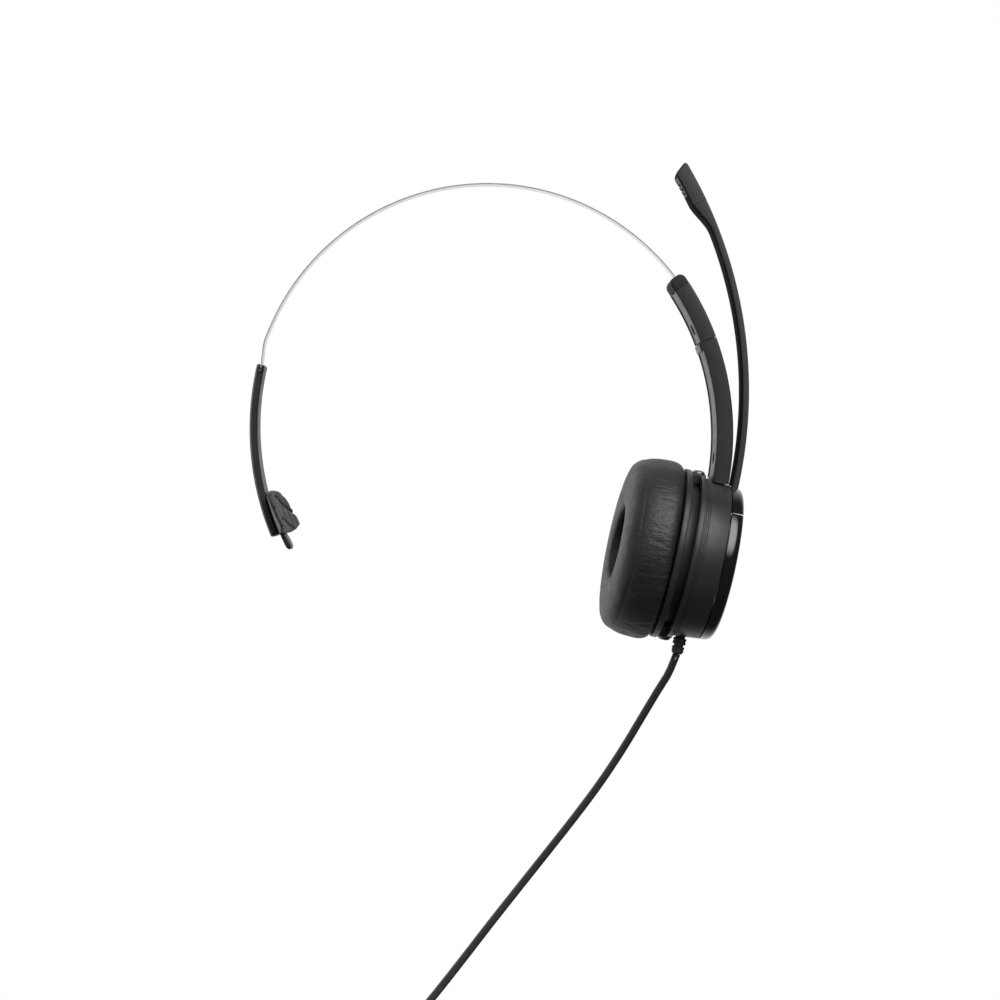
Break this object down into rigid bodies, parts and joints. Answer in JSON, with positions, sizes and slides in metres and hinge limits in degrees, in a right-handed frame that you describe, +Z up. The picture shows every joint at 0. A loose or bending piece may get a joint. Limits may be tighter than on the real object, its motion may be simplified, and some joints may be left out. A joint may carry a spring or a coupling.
{
  "type": "office headset",
  "caption": "Mono corded office headset: padded ear cup on a telescoping arm, sprung steel band with temple pad, rotating microphone boom and coiled USB cord.",
  "frame": {"origin": "centre of the headband strip's arc, about where the middle of the wearer's head is", "axes": "+Z up over the top of the head, +X towards the ear cup, +Y towards the back of the front view"},
  "size_m": [0.1787, 0.0903, 0.3189],
  "materials": {
    "cup_plastic": "satin moulded black plastic",
    "boom_plastic": "fine spark-textured dark grey plastic",
    "gloss_black": "polished black plastic",
    "band_steel": "brushed stainless spring strip",
    "steel": "plated steel",
    "pad_rubber": "soft grooved silicone rubber",
    "rubber": "matt moulded rubber",
    "leatherette": "grained black leatherette over foam",
    "screen_cloth": "black acoustic cloth",
    "tie_strap": "woven hook-and-loop strap",
    "board": "green solder mask over glass laminate",
    "cord_vinyl": "smooth satin vinyl jacket"
  },
  "bodies": {
    "ear_cup": {"drum_housing": "cup_plastic", "arm_outer_shell": "cup_plastic", "arm_inner_cover": "cup_plastic", "arm_screw": "steel", "detent_spring": "steel", "swivel_pin_top": "steel", "swivel_pin_bottom": "steel", "spring_washer": "steel", "audio_board": "board", "codec_chip": "gloss_black", "strain_relief": "rubber", "cord_drop": "cord_vinyl", "cord_coil": "cord_vinyl", "cord_tail": "cord_vinyl", "cord_tie": "tie_strap", "usb_plug_grip": "rubber", "usb_plug_shell": "steel", "usb_plug_tongue": "gloss_black"},
    "headband": {"band_strip": "band_steel", "sleeve_shell": "cup_plastic", "sleeve_cover": "cup_plastic", "sleeve_screw": "steel", "slider_tongue": "cup_plastic", "sleeve_cap": "cup_plastic", "temple_arm": "cup_plastic", "band_pin_front": "steel", "band_pin_back": "steel", "pad_carrier": "cup_plastic", "pad_rubber": "pad_rubber"},
    "speaker_pod": {"pod_shell": "cup_plastic", "speaker_baffle": "cup_plastic", "driver_frame": "cup_plastic", "driver_magnet": "steel", "driver_diaphragm": "screen_cloth", "ear_screen": "screen_cloth", "ear_cushion": "leatherette"},
    "boom": {"boom_cap": "gloss_black", "boom_foot": "gloss_black", "hub_retainer": "steel", "hub_screw": "steel", "boom_arm": "boom_plastic", "mic_housing": "boom_plastic", "mic_cover": "boom_plastic", "mic_capsule": "steel"}
  },
  "joints": [
    {"name": "size_slider", "type": "hinge", "parent": "ear_cup", "child": "headband", "pos_m": [-0.01145, 0, -0.00508], "axis": [0, -1, 0], "range_deg": [0, 15]},
    {"name": "boom_turn", "type": "hinge", "parent": "ear_cup", "child": "boom", "pos_m": [0.06994, 0, -0.04878], "axis": [0.9781, 0, -0.2079], "range_deg": [-135, 135]},
    {"name": "pod_swivel", "type": "hinge", "parent": "ear_cup", "child": "speaker_pod", "pos_m": [0.06994, 0, -0.04878], "axis": [0.2079, 0, 0.9781], "range_deg": [-5, 5]}
  ]
}
